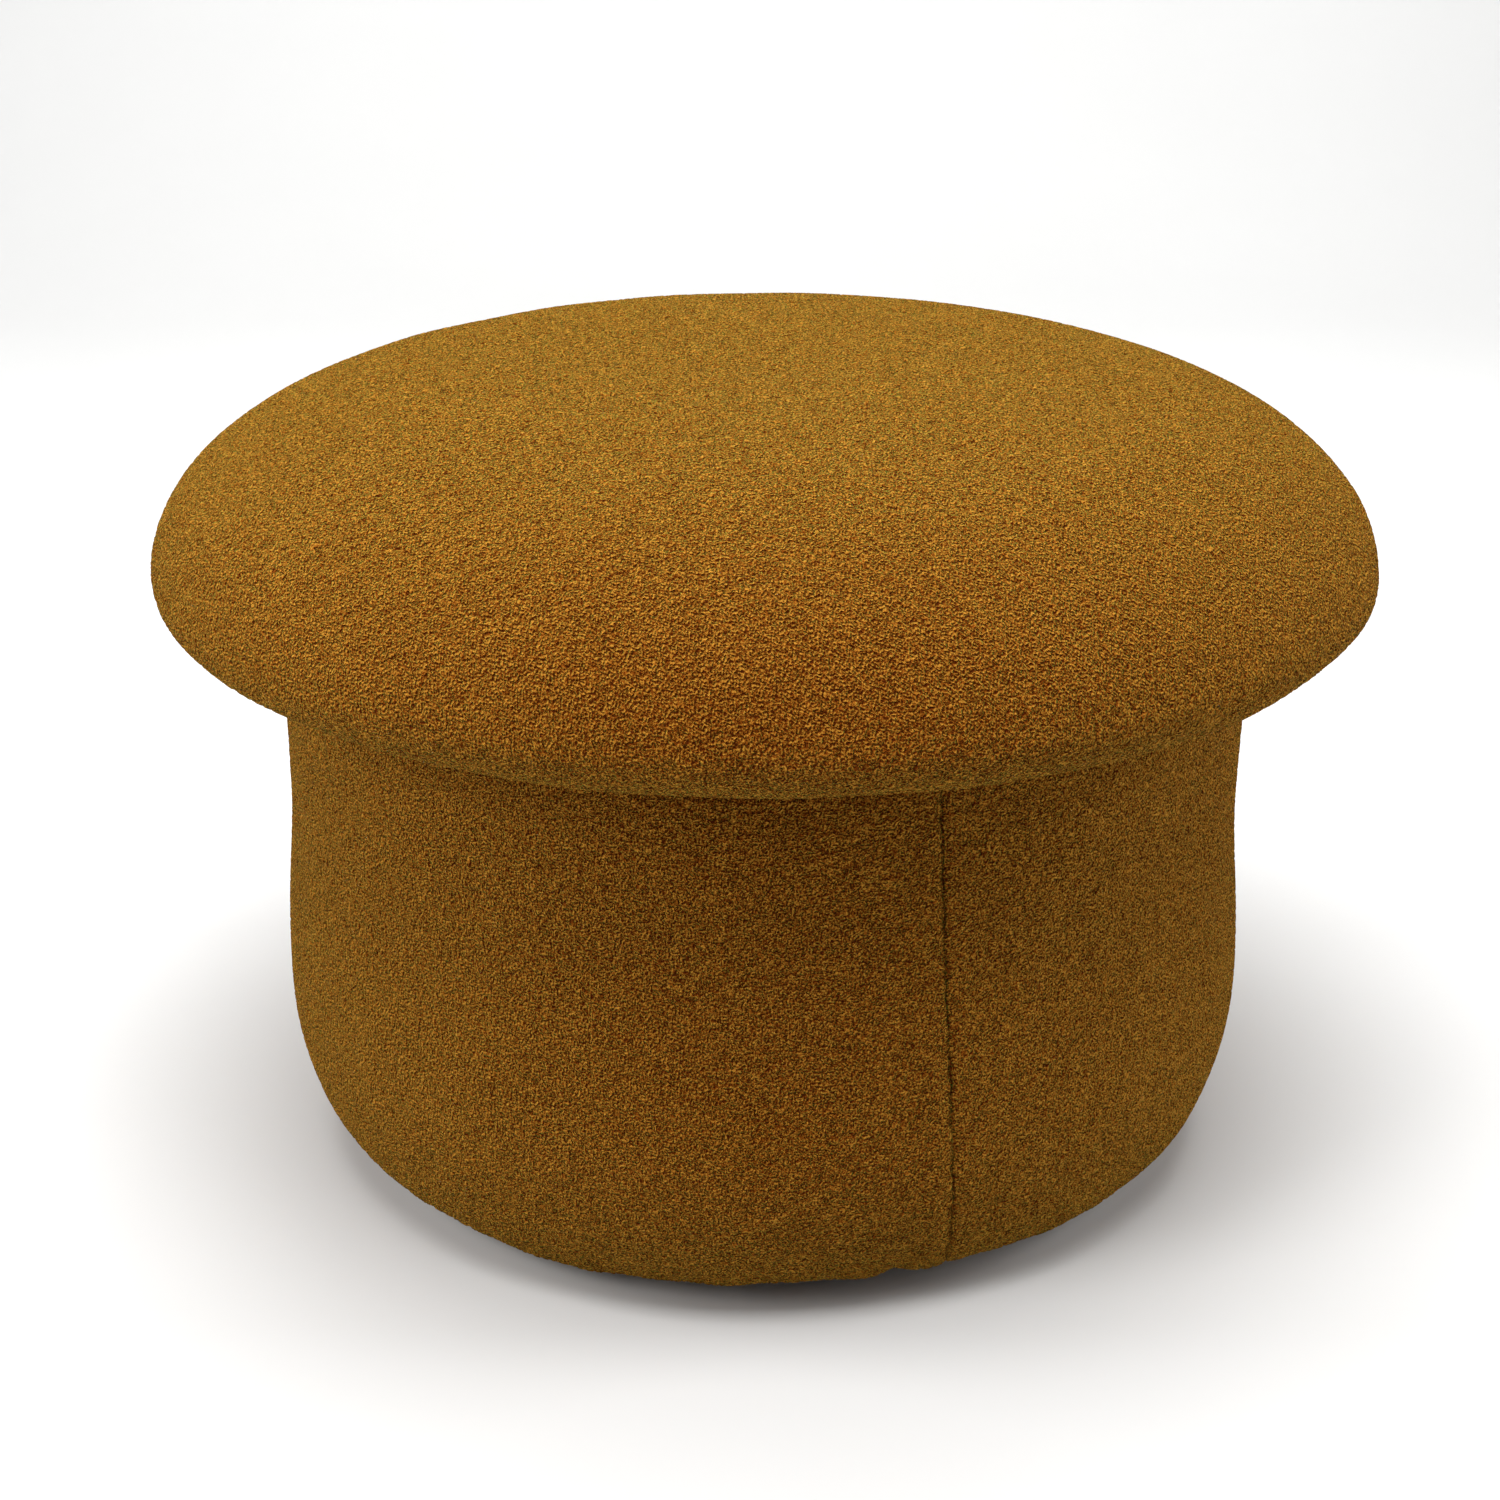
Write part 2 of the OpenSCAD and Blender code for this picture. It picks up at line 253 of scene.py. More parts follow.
def modifier_tree(name, inputs):
    """A Geometry Nodes tree with its named inputs, and its first and last nodes."""
    tree = bpy.data.node_groups.new(name, "GeometryNodeTree")
    for title, kind in (("Geometry", "Geometry"), *inputs):
        tree.interface.new_socket(title, in_out="INPUT", socket_type="NodeSocket" + kind)
    tree.interface.new_socket("Geometry", in_out="OUTPUT", socket_type="NodeSocketGeometry")
    return tree, tree.nodes.new("NodeGroupInput"), tree.nodes.new("NodeGroupOutput")


def close_tree(tree, given, result, geometry):
    """Ends a tree with real geometry that has its finish."""
    real = node(tree, "GeometryNodeRealizeInstances", {"Geometry": geometry})
    finished = node(tree, "GeometryNodeSetMaterial", {"Geometry": real.outputs[0],
                                                      "Material": given.outputs["Finish"]})
    tree.links.new(finished.outputs[0], result.inputs[0])
    return tree


def stored(tree, name, kind="FLOAT"):
    """A named value of the points of a mesh."""
    return node(tree, "GeometryNodeInputNamedAttribute", {"Name": name}, data_type=kind).outputs[0]


def shaped(piece, tree, values):
    """Runs a Geometry Nodes tree on a piece and keeps the result as a plain mesh."""
    modifier = piece.modifiers.new(tree.name, "NODES")
    modifier.node_group = tree
    for item in tree.interface.items_tree:
        if item.item_type == "SOCKET" and item.in_out == "INPUT" and item.name in values:
            modifier[item.identifier] = values[item.name]
    piece.update_tag()
    bpy.context.view_layer.update()
    graph = bpy.context.evaluated_depsgraph_get()
    result = bpy.data.meshes.new_from_object(piece.evaluated_get(graph), preserve_all_data_layers=True,
                                             depsgraph=graph)
    piece.modifiers.remove(modifier)
    old, name = piece.data, piece.name
    piece.data = result
    bpy.data.meshes.remove(old)
    result.name = name
    return piece


# ---- Surfaces of revolution ------------------------------------------------------------------

def even(points, spacing):
    """Points along a line of (radius, height) points, about spacing apart."""
    points = np.asarray(points, float)
    along = np.concatenate([[0], np.cumsum(np.hypot(*np.diff(points, axis=0).T))])
    marks = np.linspace(0, along[-1], max(2, round(along[-1] / spacing) + 1))
    return np.column_stack([np.interp(marks, along, points[:, 0]), np.interp(marks, along, points[:, 1])])


def strip(n_a, turn_a, start_a, n_b, turn_b, start_b):
    """Triangles between two rings with their own point counts and turns."""
    swapped = n_b >= n_a
    if swapped:
        n_a, turn_a, start_a, n_b, turn_b, start_b = n_b, turn_b, start_b, n_a, turn_a, start_a
    i = np.arange(n_a)
    j = np.floor(((i + 0.5) / n_a + turn_a - turn_b) * n_b + 0.5).astype(int)
    faces = np.column_stack([start_a + i, start_b + j % n_b, start_a + (i + 1) % n_a])
    if n_b > 1:
        last = np.roll(j, 1)
        last[0] = j[-1] - n_b
        k = np.flatnonzero(j != last)
        narrow = np.column_stack([start_a + k, start_b + last[k] % n_b, start_b + j[k] % n_b])
        faces = np.vstack([faces, narrow])
    return faces[:, (1, 0, 2)] if swapped else faces


def turned(profile, cells, seed=0, jitter=0.0):
    """Points and triangles of a profile turned about the vertical axis, with about square cells.

    The profile runs from the axis outwards and back. cells is each ring's cell size.
    """
    rng = np.random.default_rng(seed)
    points, faces, counts, turns, starts = [], [], [], [], []
    total = 0
    for (radius, height), cell in zip(profile, cells):
        count = 1 if radius < 1e-6 else max(8, round(TURN * radius / cell))
        turn = 0.0 if count == 1 else rng.random() / count
        stray = (rng.random(count) - 0.5) * jitter if count > 8 else np.zeros(count)
        around = TURN * ((np.arange(count) + stray) / count + turn)
        points.append(np.column_stack([radius * np.cos(around), radius * np.sin(around),
                                       np.full(count, height)]))
        counts.append(count)
        turns.append(turn)
        starts.append(total)
        total += count
    for k in range(len(counts) - 1):
        faces.append(strip(counts[k], turns[k], starts[k], counts[k + 1], turns[k + 1], starts[k + 1]))
    rings = np.repeat(np.arange(len(counts)), counts)
    return np.vstack(points), np.vstack(faces), rings


def grid(rows, columns, close_rows=False, close_columns=False):
    """Four-sided faces between the points of a grid, row by row."""
    i, j = np.meshgrid(np.arange(rows if close_rows else rows - 1),
                       np.arange(columns if close_columns else columns - 1), indexing="ij")
    i, j = i.ravel(), j.ravel()
    up, on = (i + 1) % rows * columns, (j + 1) % columns
    return np.column_stack([i * columns + j, i * columns + on, up + on, up + j])


def slow_wave(points, size, seed):
    """Smooth unevenness from -1 to 1 over points, with swells about size across."""
    rng = np.random.default_rng(seed)
    total = np.zeros(len(points))
    for _ in range(24):
        way = rng.normal(size=3)
        way *= TURN / (size * rng.uniform(0.7, 1.8)) / np.linalg.norm(way)
        total += np.sin(points @ way + rng.uniform(0, TURN))
    return total / 5.0


# ---- The looped fabric -----------------------------------------------------------------------

def curls(tree, place, size):
    """How high the yarn stands at a place, from 0 in the gaps between curls to 1 on their tops."""
    shift = node(tree, "ShaderNodeTexNoise", {"Vector": place, "Scale": 0.6 / size, "Detail": 0.0})
    stray = node(tree, "ShaderNodeVectorMath", {0: shift.outputs["Color"], 1: (0.5, 0.5, 0.5)},
                 operation="SUBTRACT")
    bent = node(tree, "ShaderNodeVectorMath", {0: stray.outputs[0], 1: (1.1 * size,) * 3, 2: place},
                operation="MULTIPLY_ADD").outputs[0]
    return spread(tree, noise(tree, bent, size, 0.0), 0.25, 0.66)


def looped_skin_tree(curl_size):
    """Moves a smooth skin by what the cloth simulation found, then raises the fabric's curls on it."""
    tree, given, result = modifier_tree("Looped skin", (("Settled", "Object"), ("Lump Height", "Float"),
                                                        ("Finish", "Material")))
    place = node(tree, "GeometryNodeInputPosition").outputs[0]
    settled = node(tree, "GeometryNodeObjectInfo", {0: given.outputs["Settled"]})
    near = node(tree, "GeometryNodeSampleNearestSurface",
                {"Mesh": settled.outputs["Geometry"], "Value": stored(tree, "shift", "FLOAT_VECTOR"),
                 "Sample Position": place}, data_type="FLOAT_VECTOR")
    loose = stored(tree, "loose")
    drift = node(tree, "ShaderNodeVectorMath", {0: near.outputs["Value"], "Scale": loose}, operation="SCALE")
    first = node(tree, "GeometryNodeSetPosition", {"Geometry": given.outputs["Geometry"],
                                                   "Offset": drift.outputs[0]})
    height = curls(tree, place, LUMP_SIZE * curl_size)
    kept = node(tree, "GeometryNodeStoreNamedAttribute", {"Geometry": first.outputs[0], "Name": "nap",
                                                          "Value": height}, data_type="FLOAT")
    lump = calc(tree, "SUBTRACT", stored(tree, "nap"), LUMP_MIDDLE)
    rise = calc(tree, "MULTIPLY", calc(tree, "MULTIPLY", lump, given.outputs["Lump Height"]), loose)
    out = node(tree, "ShaderNodeVectorMath", {0: node(tree, "GeometryNodeInputNormal").outputs[0],
                                              "Scale": rise}, operation="SCALE")
    last = node(tree, "GeometryNodeSetPosition", {"Geometry": kept.outputs[0], "Offset": out.outputs[0]})
    return close_tree(tree, given, result, last.outputs[0])


def settled_shift(points, faces, held, pressure, most):
    """How a cover under pressure settles: each point's move, at most most, as a temporary object."""
    cloth_piece = mesh_piece("settling_cover", points, faces)
    shift = np.zeros((len(points), 3))
    group = cloth_piece.vertex_groups.new(name="held")
    for weight in np.unique(np.round(held, 1)):
        if weight > 0:
            group.add(np.flatnonzero(np.round(held, 1) == weight).tolist(), float(weight), "REPLACE")
    cloth = cloth_piece.modifiers.new("Cloth", "CLOTH")
    cloth.settings.quality = 4
    cloth.settings.mass = 0.25
    cloth.settings.tension_stiffness = 12
    cloth.settings.compression_stiffness = 12
    cloth.settings.shear_stiffness = 4
    cloth.settings.bending_stiffness = 0.6
    cloth.settings.use_pressure = True
    cloth.settings.uniform_pressure_force = pressure
    cloth.settings.vertex_group_mass = "held"
    cloth.settings.effector_weights.gravity = 0
    cloth.point_cache.frame_start = 1
    cloth.point_cache.frame_end = SETTLING_FRAMES
    scene = bpy.context.scene
    for step in range(1, SETTLING_FRAMES + 1):
        scene.frame_set(step)
    graph = bpy.context.evaluated_depsgraph_get()
    settled = cloth_piece.evaluated_get(graph).to_mesh()
    place = np.empty(len(points) * 3)
    settled.vertices.foreach_get("co", place)
    shift = place.reshape(-1, 3) - points
    cloth_piece.modifiers.remove(cloth)
    scene.frame_set(1)
    far = np.linalg.norm(shift, axis=1, keepdims=True)
    shift *= np.minimum(1.0, most / np.maximum(far, 1e-9))
    made = cloth_piece.data.attributes.new("shift", "FLOAT_VECTOR", "POINT")
    made.data.foreach_set("vector", shift.astype(np.float32).ravel())
    return cloth_piece


def keep_unevenness(piece, rings):
    """Takes each ring's mean move out of a settled cover, so that its outline keeps its size."""
    mesh = piece.data
    points = np.empty(len(mesh.vertices) * 3)
    mesh.vertices.foreach_get("co", points)
    points = points.reshape(-1, 3)
    shift = np.empty(len(mesh.vertices) * 3, np.float32)
    mesh.attributes["shift"].data.foreach_get("vector", shift)
    shift = shift.reshape(-1, 3).astype(float)
    out = points[:, :2] / np.maximum(np.hypot(points[:, 0], points[:, 1]), 1e-6)[:, None]
    radial = (shift[:, :2] * out).sum(1)
    count = np.bincount(rings)
    mean_out = (np.bincount(rings, radial) / count)[rings]
    mean_up = (np.bincount(rings, shift[:, 2]) / count)[rings]
    shift[:, :2] -= out * mean_out[:, None]
    shift[:, 2] -= mean_up
    mesh.attributes["shift"].data.foreach_set("vector", shift.astype(np.float32).ravel())


# ---- Materials -------------------------------------------------------------------------------

def finish(name):
    """A new material with its tree, its Principled shader and its Object coordinates."""
    made = bpy.data.materials.new(name)
    made.use_nodes = True
    tree = made.node_tree
    place = node(tree, "ShaderNodeTexCoord").outputs["Object"]
    return made, tree, tree.nodes["Principled BSDF"], place


def surfaced(made, tree, shader, tone, rough, height, depth):
    """Gives a finish its colour, its roughness and its relief."""
    tree.links.new(tone, shader.inputs["Base Color"])
    if isinstance(rough, float):
        shader.inputs["Roughness"].default_value = rough
    else:
        tree.links.new(rough, shader.inputs["Roughness"])
    bump = node(tree, "ShaderNodeBump", {"Height": height, "Distance": depth, "Strength": 1.0})
    tree.links.new(bump.outputs[0], shader.inputs["Normal"])
    return made


def looped_fabric(fabric):
    """Yarn curls with painted shade in the gaps between them and a painted highlight on their tops, each
    painted lighter on one side and darker on the other, slowly uneven, and painted shade along the seam.
    """
    made, tree, shader, place = finish("looped_fabric")
    size = fabric.curl_size

    def pile(at):
        """Curls with their fibres, at a place."""
        return calc(tree, "MULTIPLY_ADD", noise(tree, at, 0.3 * size, 1.0), 0.25, curls(tree, at, size))

    # Painted light and shade: each curl is painted lighter on its side that faces a fixed light way and
    # darker on its other side, by comparing its height with the height a little way towards that light.
    toward_light = node(tree, "ShaderNodeVectorMath", {0: place, 1: tuple(size * way for way in PAINTED_LIGHT_WAY)},
                  operation="ADD").outputs[0]
    height = pile(place)
    lean = calc(tree, "MULTIPLY", calc(tree, "SUBTRACT", height, pile(toward_light)), fabric.lean)
    # depth adds the curl's height, its painted lit or shaded side and slow random patches; it sets how much
    # painted shade or painted highlight a place takes.
    depth = calc(tree, "ADD", lean, calc(tree, "MULTIPLY_ADD", height, 0.42, 0.27))
    patch = calc(tree, "SUBTRACT", noise(tree, place, 0.016, 2.0), 0.5)
    depth = calc(tree, "MULTIPLY_ADD", patch, 0.06, depth)
    # Painted shade along the seam: darker where the two halves meet, broken into short dashes by noise.
    crease = node(tree, "ShaderNodeAttribute", attribute_name="crease").outputs["Fac"]
    gaps = spread(tree, noise(tree, place, 0.0035, 1.0), 0.38, 0.62, -0.65, 0.0)
    depth = calc(tree, "MULTIPLY_ADD", crease, gaps, depth)
    # Painted shade and highlight: the lowest, most shaded places take the gap colour as painted shade, and
    # the highest, most lit places take the tip colour as a painted highlight.
    low = mixed(tree, spread(tree, depth, 0.08, 0.62), tuple(fabric.gap), tuple(fabric.body))
    tone = mixed(tree, spread(tree, depth, 0.62, 1.2), low, tuple(fabric.tip))
    shader.inputs["Specular IOR Level"].default_value = 0.03
    shader.inputs["Sheen Weight"].default_value = fabric.sheen
    shader.inputs["Sheen Roughness"].default_value = 0.3
    shader.inputs["Sheen Tint"].default_value = (*fabric.sheen_tint, 1.0)
    return surfaced(made, tree, shader, tone, 0.95, height, fabric.curl_height)


def non_woven(name, tint, pitch):
    """Spun cloth with rows of small pressed dots, on the piece's own map in metres."""
    made, tree, shader, place = finish(name)
    uv = node(tree, "ShaderNodeUVMap", uv_map="cloth").outputs[0]
    parts = node(tree, "ShaderNodeSeparateXYZ", {0: uv})
    waves = [calc(tree, "SINE", calc(tree, "MULTIPLY", part, TURN / pitch)) for part in parts.outputs[:2]]
    dots = calc(tree, "MULTIPLY", waves[0], waves[1])
    pressed = spread(tree, dots, 0.25, 0.65)
    fibre = noise(tree, place, 0.0009, 3.0)
    streak = noise(tree, place, 0.02, 2.0)
    worn = calc(tree, "MULTIPLY_ADD", fibre, 0.5, calc(tree, "MULTIPLY_ADD", streak, 0.4, 0.0))
    light = tuple(min(1.0, c * 1.35) for c in tint)
    dark = tuple(c * 0.72 for c in tint)
    tone = mixed(tree, spread(tree, worn, 0.25, 0.65), dark, light)
    tone = mixed(tree, calc(tree, "MULTIPLY", pressed, 0.35), tone, dark)
    rough = spread(tree, pressed, 0.0, 1.0, 0.88, 0.6)
    shader.inputs["Specular IOR Level"].default_value = 0.3
    shader.inputs["Sheen Weight"].default_value = 0.15
    height = calc(tree, "MULTIPLY_ADD", pressed, -1.0, calc(tree, "MULTIPLY", fibre, 0.4))
    return surfaced(made, tree, shader, tone, rough, height, 0.00035)


def timber(name, pale, dark, ring, stretch):
    """Wood with grain lines that run along X."""
    made, tree, shader, place = finish(name)
    laid = node(tree, "ShaderNodeMapping", {"Vector": place, "Scale": (1.0 / stretch, 1.0, 1.0)}).outputs[0]
    waver = noise(tree, laid, 0.05, 3.0)
    grain = noise(tree, laid, ring, 4.0, 0.65)
    pores = noise(tree, laid, ring * 0.15, 2.0)
    tone = mixed(tree, spread(tree, grain, 0.35, 0.68), dark, pale)
    tone = mixed(tree, spread(tree, waver, 0.3, 0.8, 0.0, 0.3), tone, dark)
    tone = mixed(tree, spread(tree, pores, 0.62, 0.75, 0.0, 0.35), tone, dark)
    rough = spread(tree, grain, 0.3, 0.7, 0.62, 0.8)
    return surfaced(made, tree, shader, tone, rough, calc(tree, "MULTIPLY_ADD", pores, 0.6, grain), 0.00025)


def pressed_fibre(name, tint):
    """Hardboard: fine brown fibres pressed flat."""
    made, tree, shader, place = finish(name)
    fibre = noise(tree, place, 0.0012, 4.0, 0.7)
    cloud = noise(tree, place, 0.03, 2.0)
    amount = calc(tree, "MULTIPLY_ADD", cloud, 0.4, calc(tree, "MULTIPLY", fibre, 0.7))
    tone = mixed(tree, spread(tree, amount, 0.35, 0.8), tuple(c * 0.6 for c in tint), tint)
    return surfaced(made, tree, shader, tone, spread(tree, fibre, 0.3, 0.7, 0.45, 0.65), fibre, 0.00012)


def cut_foam(name, tint, cell):
    """Foam or fibre fill with small open cells."""
    made, tree, shader, place = finish(name)
    cells = node(tree, "ShaderNodeTexVoronoi", {"Vector": place, "Scale": 1.0 / cell}).outputs["Distance"]
    cloud = noise(tree, place, 0.04, 2.0)
    amount = calc(tree, "MULTIPLY_ADD", cloud, 0.3, calc(tree, "SUBTRACT", 0.9, cells))
    tone = mixed(tree, spread(tree, amount, 0.3, 1.1), tuple(c * 0.55 for c in tint), tint)
    return surfaced(made, tree, shader, tone, spread(tree, cells, 0.0, 0.8, 0.8, 1.0), cells, 0.0006)


def plated_steel(name):
    """Zinc plate, a little dull and clouded."""
    made, tree, shader, place = finish(name)
    cloud = noise(tree, place, 0.003, 3.0)
    fine = noise(tree, place, 0.0004, 2.0)
    tone = mixed(tree, spread(tree, cloud, 0.35, 0.7), (0.42, 0.42, 0.40), (0.66, 0.66, 0.64))
    shader.inputs["Metallic"].default_value = 1.0
    return surfaced(made, tree, shader, tone, spread(tree, cloud, 0.3, 0.7, 0.42, 0.24), fine, 0.00004)


def moulded_plastic(name, tint):
    """Matt moulded plastic with a fine spark texture."""
    made, tree, shader, place = finish(name)
    spark = noise(tree, place, 0.0005, 2.0)
    scuff = noise(tree, place, 0.006, 4.0, 0.7)
    tone = mixed(tree, spread(tree, scuff, 0.45, 0.75, 0.0, 0.6), tint, tuple(c * 2.4 + 0.01 for c in tint))
    return surfaced(made, tree, shader, tone, spread(tree, scuff, 0.3, 0.7, 0.42, 0.62), spark, 0.00006)


def studio_floor(tint):
    made, tree, shader, place = finish("studio_floor")
    cloud = noise(tree, place, 0.35, 2.0)
    tone = mixed(tree, spread(tree, cloud, 0.3, 0.7), tint, tuple(c * 0.985 for c in tint))
    tree.links.new(tone, shader.inputs["Base Color"])
    shader.inputs["Roughness"].default_value = 0.75
    return made


def kept_finish(name, maker, *values):
    """A finish that several operators share, made the first time that it is asked for."""
    return bpy.data.materials.get(name) or maker(*values)


def fabric_finish(fabric):
    return kept_finish("looped_fabric", looped_fabric, fabric)


def lining_finish(trim):
    return kept_finish("grey_lining", non_woven, "grey_lining", tuple(trim.lining), trim.dot_pitch)


def dust_finish(trim):
    return kept_finish("dust_cloth_finish", non_woven, "dust_cloth_finish", tuple(trim.dust), trim.dot_pitch)


def steel_finish():
    return kept_finish("zinc_plate", plated_steel, "zinc_plate")


# ---- Outlines --------------------------------------------------------------------------------

def quarter(count):
    return np.linspace(0, math.pi / 2, count)


def dome_line(lid):
    """The lid from its crown to its widest line."""
    edge = LID_LOW.z + lid.edge_drop
    a = quarter(240)
    return np.column_stack([LID_RADIUS * np.sin(a) ** (2 / lid.dome_power),
                            edge + (LID_HIGH.z - edge) * np.cos(a).clip(0) ** (2 / lid.shoulder_power)])


def under_line(lid):
    """The lid's rounded underside, from its widest line to the hem's inner edge."""
    flat = LID_RADIUS - lid.under_inset
    edge = LID_LOW.z + lid.edge_drop
    a = quarter(60)
    curve = np.column_stack([flat + lid.under_inset * np.cos(a), edge - lid.edge_drop * np.sin(a)])
    return np.vstack([curve[1:], [[flat - lid.hem_width, LID_LOW.z]]])


def drum_line(drum):
    """The drum's side from its tucked hem, up and over the rim, to the turned-in edge."""
    top_r, belly = COVER_RADIUS - drum.belly_out, COVER_RADIUS
    tuck = top_r - drum.tuck_inset
    a = quarter(60)
    foot = np.column_stack([tuck + (belly - tuck) * np.sin(a),
                            drum.belly_h - (drum.belly_h - drum.hem_low) * np.cos(a)])
    u = np.linspace(0, 1, 40)[1:]
    side = np.column_stack([top_r + drum.belly_out * (1 + np.cos(math.pi * u)) / 2,
                            drum.belly_h + (drum.shoulder_h - drum.belly_h) * u])
    rim_z, rim = COVER_TOP, drum.rim_round
    outer = np.column_stack([top_r - rim + rim * np.cos(a), rim_z - rim + rim * np.sin(a)])
    inner_r, cover = RING_IN, RING_IN - LINING_OUT
    inner = np.column_stack([inner_r - cover * np.sin(a), rim_z - cover + cover * np.cos(a)])
    return np.vstack([foot, side, outer, inner])


# ---- Pieces ----------------------------------------------------------------------------------

class OTTOMAN_OT_lid_cushion(Operator):
    """Make the lid's domed cushion, with the looped cover pulled over it"""
    bl_idname = "ottoman.lid_cushion"
    bl_label = "Lid cushion"

    def execute(self, context):
        fabric, lid, _, trim, _ = settings(context)
        shown = np.vstack([dome_line(lid), under_line(lid)])
        coarse = even(shown, lid.cloth_cell)
        points, faces, rings = turned(coarse, np.full(len(coarse), lid.cloth_cell), 7)
        around = np.arctan2(points[:, 1], points[:, 0])
        hem_ease, inside_cell = 0.012, 0.012
        from_hem = (coarse[-1, 0] + hem_ease - np.hypot(points[:, 0], points[:, 1])) / hem_ease
        under = points[:, 2] < LID_LOW.z + 0.004
        pull = 0.75 + 0.25 * np.cos(around * trim.staple_n)
        held = np.where(under, (from_hem + 1).clip(0, 1) * pull, 0.0)
        held[rings == rings.max()] = 1.0
        settled = settled_shift(points, faces, held, lid.pressure, lid.most_shift)
        keep_unevenness(settled, rings)

        fine = even(shown, fabric.spacing)
        hem_in, board_z = fine[-1, 0], BOARD_LOW.z
        board_r = (BOARD_HIGH.x - BOARD_LOW.x) / 2 + 2 * FIT
        hidden = np.array([[hem_in, board_z - FIT], [board_r, board_z - FIT], [board_r, BOARD_HIGH.z]]
                          + [[r, BOARD_HIGH.z + FIT] for r in np.linspace(board_r - 0.02, 0, 9)])
        profile = np.vstack([fine, hidden])
        cells = np.concatenate([np.full(len(fine), fabric.spacing), np.full(len(hidden), inside_cell)])
        points, faces, rings = turned(profile, cells, 7, jitter=0.5)
        shown_part = rings < len(fine) - 1
        loose = np.where(shown_part, 1.0, 0.0)
        hem_fade = ((np.hypot(points[:, 0], points[:, 1]) - hem_in) / 0.02).clip(0, 1)
        flat_part = points[:, 2] < LID_LOW.z + 0.001
        loose = np.where(flat_part & shown_part, 0.35 + 0.65 * hem_fade, loose)
        points[:, 2] += np.where(shown_part & ~flat_part, lid.wave * 0.6 * slow_wave(points, 0.09, 3), 0.0)
        swell = 1 + np.where(shown_part & ~flat_part, lid.wave / 0.3 * slow_wave(points, 0.11, 5), 0.0)
        points[:, :2] *= swell[:, None]
        piece = mesh_piece("lid_cushion", points, faces)
        add_values(piece.data, "loose", loose)
        shaped(piece, looped_skin_tree(fabric.curl_size), {
            "Settled": settled, "Lump Height": fabric.lump_height, "Finish": fabric_finish(fabric)})
        bpy.data.objects.remove(settled)
        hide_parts("lid_cover", "lid_wadding", "lid_foam")
        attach(piece, "lid")
        return {"FINISHED"}


